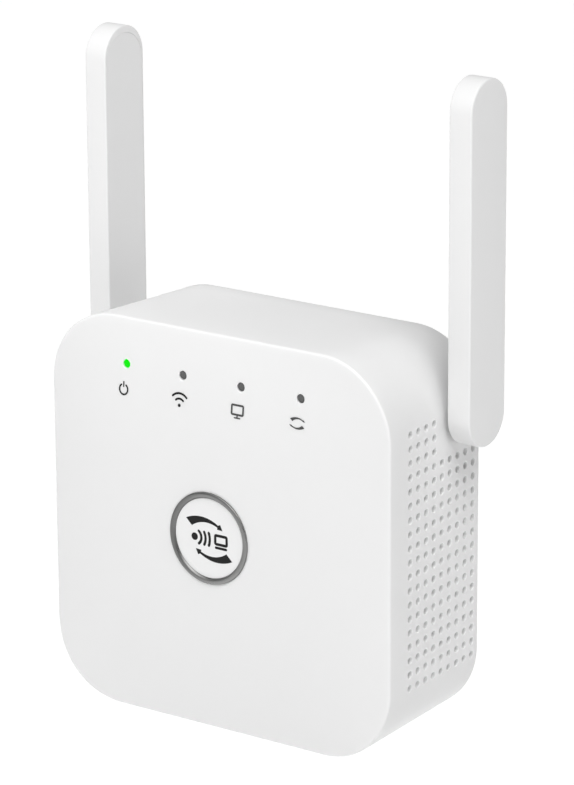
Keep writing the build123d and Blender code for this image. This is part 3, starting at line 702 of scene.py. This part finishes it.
def make_antenna_cover(name, side):
    """The inset inner cover with its collar and grooved hollow spigot. A step at its edge closes the seam."""
    radius = PADDLE_RADIUS - COVER_MARGIN
    steps = (
        (0, radius - COVER_EDGE),
        (COVER_EDGE, radius),
        (COVER_STEP_DEPTH, radius),
        (COVER_STEP_DEPTH, radius + COVER_STEP),
        (COVER_THICKNESS, radius + COVER_STEP),
    )
    rings = [paddle_ring(side, PADDLE_INNER_X + depth, reach, COVER_DROP) for depth, reach in steps]
    profile = [
        (SPIGOT_RADIUS - SPIGOT_EDGE, SPIGOT_END_X),
        (SPIGOT_RADIUS, SPIGOT_END_X + SPIGOT_EDGE),
        (SPIGOT_RADIUS, GROOVE_X[0]),
        (GROOVE_RADIUS, GROOVE_X[0]),
        (GROOVE_RADIUS, GROOVE_X[1]),
        (SPIGOT_RADIUS, GROOVE_X[1]),
        (SPIGOT_RADIUS, COLLAR_START_X),
        (COLLAR_RADIUS - COLLAR_EDGE, COLLAR_START_X),
        (COLLAR_RADIUS, COLLAR_START_X + COLLAR_EDGE),
        (COLLAR_RADIUS, PADDLE_INNER_X + COVER_THICKNESS / 2),
    ]
    spigot = turned([(r, side * x) for r, x in profile], "x", (PIVOT_Y, PIVOT_Z))
    start, end = (side * x for x in BORE_CUT_X)
    bore = rod("x", (PIVOT_Y, PIVOT_Z), start, end, SPIGOT_BORE)
    mesh = carved(f"inner_cover_{name}", loft(rings), spigot, bore)
    place(f"inner_cover_{name}", mesh, f"antenna_{name}", "white_case", f"antenna_cover_{name}")


# ---- front controls ---------------------------------------------------------------------------------------
def make_trim_ring():
    """The metal ring: a small outer rounding, a flat front and a wide bevel down to the button."""
    front, back = RING_LOW.y, RING_HIGH.y
    profile = [
        (RING_OUTER, back),
        (RING_OUTER, front + 0.16),
        (RING_OUTER - 0.04, front + 0.06),
        (RING_OUTER - 0.13, front),
        (RING_INNER + 0.36, front),
        (RING_INNER + 0.3, front + 0.03),
        (RING_INNER + 0.02, front + 0.31),
        (RING_INNER, front + 0.35),
        (RING_INNER, back),
    ]
    mesh = mesh_from("trim_ring", *turned(profile, "y", (0, 0), 160, closed=True))
    place("trim_ring", mesh, "case", "satin_ring", "button_trim_ring", sharp=50)


def make_button():
    """The pressed cap, with the flange that keeps it in the case and the post that reaches the switch."""
    front = BUTTON_LOW.y
    profile = [(BUTTON_RADIUS * share, front) for share in (0.1, 0.4, 0.7, 0.9)]
    for a in arc(0, 90, 5):
        radius = BUTTON_RADIUS - BUTTON_EDGE * (1 - math.sin(a))
        profile.append((radius, front + BUTTON_EDGE * (1 - math.cos(a))))
    flange_front = RIM_Y - DOME_HEIGHT + WALL + FIT_GAP
    flange_back = flange_front + BUTTON_FLANGE_THICKNESS
    profile += [(BUTTON_RADIUS, flange_front), (BUTTON_FLANGE_RADIUS, flange_front)]
    profile += [(BUTTON_FLANGE_RADIUS, flange_back), (BUTTON_POST_RADIUS, flange_back)]
    profile += [(BUTTON_POST_RADIUS, BUTTON_HIGH.y)]
    mesh = mesh_from("button_cap", *turned(profile, "y", (0, 0), 160))
    place("button_cap", mesh, "pairing_key", "white_case", "pairing_button")


def make_window(index):
    """A light window with a slightly crowned face, its flange behind the wall and its rod to the board."""
    name = LIGHTS[index]
    low, high = node_box(f"light_pipe_{name}")
    front = low.y
    flange_front = front + WALL + LIGHT_FLANGE_GAP
    flange_back = flange_front + LIGHT_FLANGE_THICKNESS
    profile = [(0.2, front), (0.45, front + 0.02), (0.65, front + 0.06), (0.78, front + 0.13)]
    profile += [(LIGHT_RADIUS, front + 0.24), (LIGHT_RADIUS, flange_front)]
    profile += [(LIGHT_FLANGE_RADIUS, flange_front), (LIGHT_FLANGE_RADIUS, flange_back)]
    profile += [(LIGHT_RADIUS, flange_back), (LIGHT_RADIUS, high.y)]
    mesh = mesh_from(f"window_{name}", *turned(profile, "y", (light_x(index), LIGHT_Z), 40))
    slot = "lit_green" if name == "power" else "unlit_grey"
    place(f"window_{name}", mesh, "case", slot, f"light_pipe_{name}")


# ---- printed symbols --------------------------------------------------------------------------------------
INK_THICKNESS = 0.012
INK_DEPTH = 0.03
SYMBOL_SHIFT = 0.43
SYMBOL_Z = (25.87, 25.08, 24.9, 26.17)


def arc_path(centre, radius, start, end, steps=20):
    x, z = centre
    return [(x + radius * math.cos(a), z + radius * math.sin(a)) for a in arc(start, end, steps)]


def line_path(start, end, steps=6):
    return [(start[0] + (end[0] - start[0]) * i / steps, start[1] + (end[1] - start[1]) * i / steps)
            for i in range(steps + 1)]


def box_path(centre, wide, tall, corner):
    """A closed rounded rectangle."""
    path = []
    for i, (sx, sz) in enumerate(((1, 1), (-1, 1), (-1, -1), (1, -1))):
        middle = (centre[0] + sx * (wide / 2 - corner), centre[1] + sz * (tall / 2 - corner))
        path += arc_path(middle, corner, i * 90, i * 90 + 90, 6)
    return path + [path[0]]


def through(start, middle, end, steps=20):
    """Points along the circle through three points."""
    ax, az = start
    bx, bz = middle
    cx, cz = end
    d = 2 * (ax * (bz - cz) + bx * (cz - az) + cx * (az - bz))
    a2, b2, c2 = ax * ax + az * az, bx * bx + bz * bz, cx * cx + cz * cz
    x = (a2 * (bz - cz) + b2 * (cz - az) + c2 * (az - bz)) / d
    z = (a2 * (cx - bx) + b2 * (ax - cx) + c2 * (bx - ax)) / d
    first, last = math.degrees(math.atan2(az - z, ax - x)), math.degrees(math.atan2(cz - z, cx - x))
    return arc_path((x, z), math.hypot(ax - x, az - z), first, last, steps)


def stroke(path, width):
    """Pairs of points across a line of even width. Its ends are round, unless the path is closed."""
    pairs = []
    last = len(path) - 1
    if math.dist(path[0], path[-1]) < 1e-9:
        for i in range(last):
            along = Vector(path[i + 1]) - Vector(path[i - 1 if i else last - 1])
            across = Vector((-along.y, along.x)).normalized() * (width / 2)
            pairs.append((Vector(path[i]) - across, Vector(path[i]) + across))
        return pairs + [pairs[0]]
    ends = [(0, -1, u) for u in (1.0, 0.9, 0.7, 0.4)]
    middle = [(i, 0, 0.0) for i in range(last + 1)]
    for i, way, reach in ends + middle + [(last, 1, u) for _, _, u in reversed(ends)]:
        before, after = path[max(i - 1, 0)], path[min(i + 1, last)]
        along = Vector((after[0] - before[0], after[1] - before[1])).normalized()
        centre = Vector(path[i]) + along * (way * reach * width / 2)
        half = max(math.sqrt(1 - reach * reach), 0.03) * width / 2
        across = Vector((-along.y, along.x)) * half
        pairs.append((centre - across, centre + across))
    return pairs


def dot(centre, radius):
    """A filled round spot, which is a stroke of hardly any length."""
    x, z = centre
    return stroke([(x - 0.001, z), (x + 0.001, z)], 2 * radius)


def arrow(outer, inner, head, turn, centre):
    """A tapering curved arrow between two arcs. turn is 1, or -1 for its half-turn about the centre."""
    pairs = list(zip(through(*inner), through(*outer)))
    (low, high), tip = head
    pairs += [(low, high), tuple((Vector(tip) * 0.98 + Vector(p) * 0.02) for p in (low, high))]
    return [tuple(Vector(centre) + Vector(p) * turn for p in pair) for pair in pairs]


def printed(name, strips, surface, body, ink="ink"):
    """Thin flat ink shapes on a surface, given as its Y at (x, z). A strip is pairs of points across it."""
    parts = []
    for strip in strips:
        rings = []
        for low, high in strip:
            top = [(x, surface(x, z) - INK_THICKNESS, z) for x, z in (low, high)]
            base = [(x, surface(x, z) + INK_DEPTH, z) for x, z in (high, low)]
            rings.append(top + base)
        if rings[0] == rings[-1]:
            parts.append(loft(rings[:-1], closed=True))
        else:
            parts.append(loft(rings))
    place(name, mesh_from(name, *join(parts)), body, "unlit_grey", material=materials[ink])


def make_power_symbol(x, z):
    """An open ring with a bar in its gap."""
    strips = [stroke(arc_path((x, z), 1.02, 124, 416, 40), 0.34)]
    strips.append(stroke(line_path((x, z + 0.55), (x, z + 1.45)), 0.3))
    printed("symbol_power", strips, dome_y, "case")


def make_wifi_symbol(x, z):
    """A dot with two waves over it."""
    strips = [stroke(arc_path((x, z), 2.33, 45, 135), 0.4)]
    strips.append(stroke(arc_path((x, z), 1.29, 48, 132), 0.4))
    strips.append(dot((x, z), 0.33))
    printed("symbol_wifi", strips, dome_y, "case")


def make_network_symbol(x, z):
    """A screen on a foot."""
    strips = [stroke(box_path((x, z + 1.55), 2.64, 1.82, 0.2), 0.38)]
    strips.append(stroke(line_path((x, z + 0.5), (x, z + 0.1)), 0.3))
    strips.append(stroke(line_path((x - 0.62, z), (x + 0.62, z)), 0.27))
    printed("symbol_network", strips, dome_y, "case", "grey_ink")


def make_pairing_symbol(x, z):
    """Two chasing arrows."""
    outer = ((-1.62, 0.74), (-0.05, 1.13), (1.3, 0.73))
    inner = ((-1.06, 0.28), (0.15, 0.83), (1.2, 0.52))
    head = (((1.2, 0.46), (1.38, 0.78)), (1.75, 0.4))
    strips = [arrow(outer, inner, head, turn, (x, z)) for turn in (1, -1)]
    printed("symbol_pairing", strips, dome_y, "case", "grey_ink")


def make_light_symbols():
    """One symbol under each light, in the order of LIGHTS."""
    makers = (make_power_symbol, make_wifi_symbol, make_network_symbol, make_pairing_symbol)
    for index, (make_symbol, z) in enumerate(zip(makers, SYMBOL_Z)):
        make_symbol(light_x(index) - SYMBOL_SHIFT, z)


def make_button_symbol():
    """Two chasing arrows round a sender, its waves and a receiving device."""
    centre = (0.04, -0.25)
    outer = ((-5.43, 3.5), (-1.8, 4.33), (2.15, 3.2))
    inner = ((-4.07, 2.16), (-0.8, 3.33), (1.98, 2.76))
    head = (((1.9, 2.4), (2.66, 3.45)), (3.2, 2.28))
    strips = [arrow(outer, inner, head, turn, centre) for turn in (1, -1)]
    sender = (-3.4, -0.2)
    strips.append(dot(sender, 0.76))
    for radius in (1.6, 2.6, 3.6):
        reach = math.degrees(math.asin(1.25 / radius))
        strips.append(stroke(arc_path(sender, radius, -reach, reach), 0.56))
    strips.append(stroke(box_path((2.85, 0.05), 2.7, 1.75, 0.25), 0.56))
    strips.append(stroke(line_path((1.65, -1.55), (4.05, -1.55)), 0.52))
    printed("symbol_button", strips, lambda x, z: BUTTON_LOW.y, "pairing_key")


# ---- back: cover, blades and screws -----------------------------------------------------------------------
def make_rear_cover():
    """The flat cover, with the blocks that hold the blades, the power board's posts and the screw wells."""
    outline = case_outline()
    edge = COVER_PLATE_EDGE

    def ring(y, inset=0.0):
        return side_ring(outline, corner_radius_at(y) - WALL - FIT_GAP - inset, y)

    plate = loft([ring(0, edge), ring(-edge * 0.4, edge * 0.4), ring(-edge), ring(-COVER_PLATE)])
    bosses = []
    cuts = []
    block_wide, block_tall = BLADE_BLOCK
    thick, wide = BLADE_HALF_THICK + TOUCH_GAP, BLADE_HALF_WIDE + TOUCH_GAP
    for side in SIDES.values():
        x = side * BLADE_X
        bosses.append(slab((x - block_wide, x + block_wide), BLADE_BLOCK_Y, (-block_tall, block_tall)))
        cuts.append(slab((x - thick, x + thick), BLADE_SLOT_Y, (-wide, wide)))
    for x, z in POSTS:
        bosses.append(rod("y", (x, z), POWER_BOARD_BACK_Y + TOUCH_GAP, POST_PILOT_Y[1], POST_RADIUS))
        cuts.append(rod("y", (x, z), *POST_PILOT_Y, POST_PILOT_RADIUS))
    cuts += [turned(SCREW_WELL, "y", centre, 48) for centre in CASE_BOSSES]
    mesh = carved("rear_plate", plate, join(bosses), join(cuts))
    place("rear_plate", mesh, "case", "white_case", "rear_cover")


def blade_ring(x, y, half_thick, half_wide, corner=BLADE_CORNER):
    """A rounded rectangle across a blade."""
    ring = []
    for i, (sx, sz) in enumerate(((1, 1), (-1, 1), (-1, -1), (1, -1))):
        for a in arc(i * 90, i * 90 + 90, 4):
            px = x + sx * (half_thick - corner) + corner * math.cos(a)
            ring.append((px, y, sz * (half_wide - corner) + corner * math.sin(a)))
    return ring


def make_blades():
    """Two flat mains blades with a narrowed tip, a round hole and a tail to the power board."""
    parts = []
    holes = []
    for side in SIDES.values():
        x = side * BLADE_X
        rings = [
            blade_ring(x, BLADE_TAIL_Y, BLADE_TAIL_HALF_THICK, BLADE_TAIL_HALF_WIDE),
            blade_ring(x, BLADE_ROOT_Y, BLADE_TAIL_HALF_THICK, BLADE_TAIL_HALF_WIDE),
            blade_ring(x, BLADE_ROOT_Y, BLADE_HALF_THICK, BLADE_HALF_WIDE),
        ]
        for back, thinner, narrower in BLADE_TIP:
            half_thick, half_wide = BLADE_HALF_THICK - thinner, BLADE_HALF_WIDE - narrower
            corner = min(BLADE_CORNER, half_thick * 0.9)
            rings.append(blade_ring(x, BLADE_END_Y - back, half_thick, half_wide, corner))
        parts.append(loft(rings))
        holes.append(rod("x", (BLADE_HOLE_Y, 0), x - 2, x + 2, BLADE_HOLE_RADIUS, 40))
    mesh = carved("mains_blades", join(parts), cuts=join(holes))
    place("mains_blades", mesh, "case", "blade_brass", "plug_blades")


def cross_ring(x, z, y, long=1.375, half=0.3):
    """A plus shape round (x, z)."""
    quarter = [(long, half), (half, half), (half, long)]
    ring = []
    for a in arc(0, 270, 3):
        c, s = round(math.cos(a)), round(math.sin(a))
        ring += [(x + c * u - s * w, y, z + s * u + c * w) for u, w in quarter]
    return ring


def make_case_screws():
    """Four pan heads with a cross recess, sunk in the rear cover."""
    seat = SCREW_SEAT_Y
    head, shank = SCREW_HEAD_RADIUS, SCREW_SHANK_RADIUS
    profile = [(shank - 1, seat - SCREW_SHANK - 1), (shank, seat - SCREW_SHANK), (shank, seat), (head, seat)]
    profile += [(head, seat + 0.5), (2.42, seat + 0.64), (2.2, seat + 0.75), (1.8, seat + 0.82)]
    profile += [(1.0, seat + 0.85)]
    heads = [turned(profile, "y", centre, 48) for centre in CASE_BOSSES]
    crosses = [loft([cross_ring(x, z, y) for y in (CROSS_DEPTH_Y, 1)]) for x, z in CASE_BOSSES]
    mesh = carved("cover_screws", join(heads), cuts=join(crosses))
    place("cover_screws", mesh, "case", "screw_steel", "case_screws")


# ---- CAD pieces that keep their shape ---------------------------------------------------------------------
def dress_cad_nodes():
    """Give every CAD node its slot's material, and break the sharp edges of the jack, which shows."""
    for part in frame["record"]["subparts"]:
        node = frame["nodes"][part["node"]]
        node.data.materials.clear()
        node.data.materials.append(materials[part["material_slot"]])
    for name in ("network_jack_housing", "network_jack_shield"):
        bevel = frame["nodes"][name].modifiers.new("edges", "BEVEL")
        bevel.width = 0.08 * MM
        bevel.segments = 2
        bevel.angle_limit = math.radians(40)


# ---- camera, light and floor ------------------------------------------------------------------------------
FLOOR_Z = -160


def make_camera():
    """The photograph's view: from the front right and a little above, with a long lens."""
    yaw, pitch, roll = (math.radians(a) for a in (35.689, 17.094, -0.264))
    back = Vector((math.sin(yaw) * math.cos(pitch), -math.cos(yaw) * math.cos(pitch), math.sin(pitch)))
    level = Vector((math.cos(yaw), math.sin(yaw), 0))
    upright = back.cross(level)
    right = math.cos(roll) * level + math.sin(roll) * upright
    up = math.cos(roll) * upright - math.sin(roll) * level
    target = Vector((0, -15, 0))
    distance, aside, above = 805.08, 5.678, 16.915
    position = (target + back * distance + right * aside + up * above) * MM
    camera = bpy.data.objects.new("camera", bpy.data.cameras.new("camera"))
    bpy.context.scene.collection.objects.link(camera)
    camera.matrix_world = Matrix.Translation(position) @ Matrix((right, up, back)).transposed().to_4x4()
    camera.data.sensor_width = 36
    camera.data.lens = 189.9
    camera.data.shift_x = -0.0163
    camera.data.shift_y = 0.0406
    bpy.context.scene.camera = camera


def place_light(data, azimuth, elevation, distance=0.0):
    """Aim a light at the case. azimuth is turned from the front towards the right, in degrees."""
    a, e = math.radians(azimuth), math.radians(elevation)
    towards = Vector((math.sin(a) * math.cos(e), -math.cos(a) * math.cos(e), math.sin(e)))
    light = bpy.data.objects.new(data.name, data)
    bpy.context.scene.collection.objects.link(light)
    light.location = towards * distance
    light.rotation_mode = "QUATERNION"
    light.rotation_quaternion = towards.to_track_quat("Z", "Y")
    return light


def make_sun(name, azimuth, elevation, share, width):
    """A soft distant light. With a share of 1 it alone makes a white surface white."""
    data = bpy.data.lights.new(name, "SUN")
    data.energy = share * math.pi
    data.angle = math.radians(width)
    place_light(data, azimuth, elevation)


def make_panel(name, azimuth, elevation, share, distance):
    """A soft square light near enough to fade over the object. share is its strength at the case."""
    data = bpy.data.lights.new(name, "AREA")
    data.energy = share * (math.pi * distance) ** 2
    data.size = distance * 0.6
    panel = place_light(data, azimuth, elevation, distance)
    panel.visible_camera = False


def make_light():
    """Even light from all round, three suns high up and a panel at the front."""
    world = bpy.data.worlds.new("studio")
    bpy.context.scene.world = world
    world.use_nodes = True
    background = world.node_tree.nodes["Background"]
    background.inputs["Color"].default_value = (1, 1, 1, 1)
    background.inputs["Strength"].default_value = 0.25
    make_sun("key", 43, 60, 0.53, 40)
    make_sun("overhead", -30, 80, 0.06, 40)
    make_sun("side", 75, 58, 0.16, 40)
    make_panel("front", -6, 38, 0.31, 0.45)


def make_floor():
    """A plain pale floor far below, with a little light of its own so that it stays an even white."""
    reach = 5000
    mesh = mesh_from("floor", *slab((-reach, reach), (-reach, reach), (-165, FLOOR_Z)))
    material = finish("floor", (0.95, 0.95, 0.95), 0.9, shade=0.002, mottling=2.0, relief=0.0, specular=0.0)
    shader = shader_of(material)
    shader.inputs["Emission Color"].default_value = (1, 1, 1, 1)
    shader.inputs["Emission Strength"].default_value = 0.15
    mesh.materials.append(material)
    floor = bpy.data.objects.new("floor", mesh)
    bpy.context.scene.collection.objects.link(floor)


# ---- everything -------------------------------------------------------------------------------------------
dress_cad_nodes()
make_housing()
for side_name, side_sign in SIDES.items():
    make_antenna_shell(side_name, side_sign)
    make_antenna_cover(side_name, side_sign)
make_trim_ring()
make_button()
for light_index in range(len(LIGHTS)):
    make_window(light_index)
make_light_symbols()
make_button_symbol()
make_rear_cover()
make_blades()
make_case_screws()
make_camera()
make_light()
make_floor()
bpy.context.scene.view_settings.view_transform = "Standard"
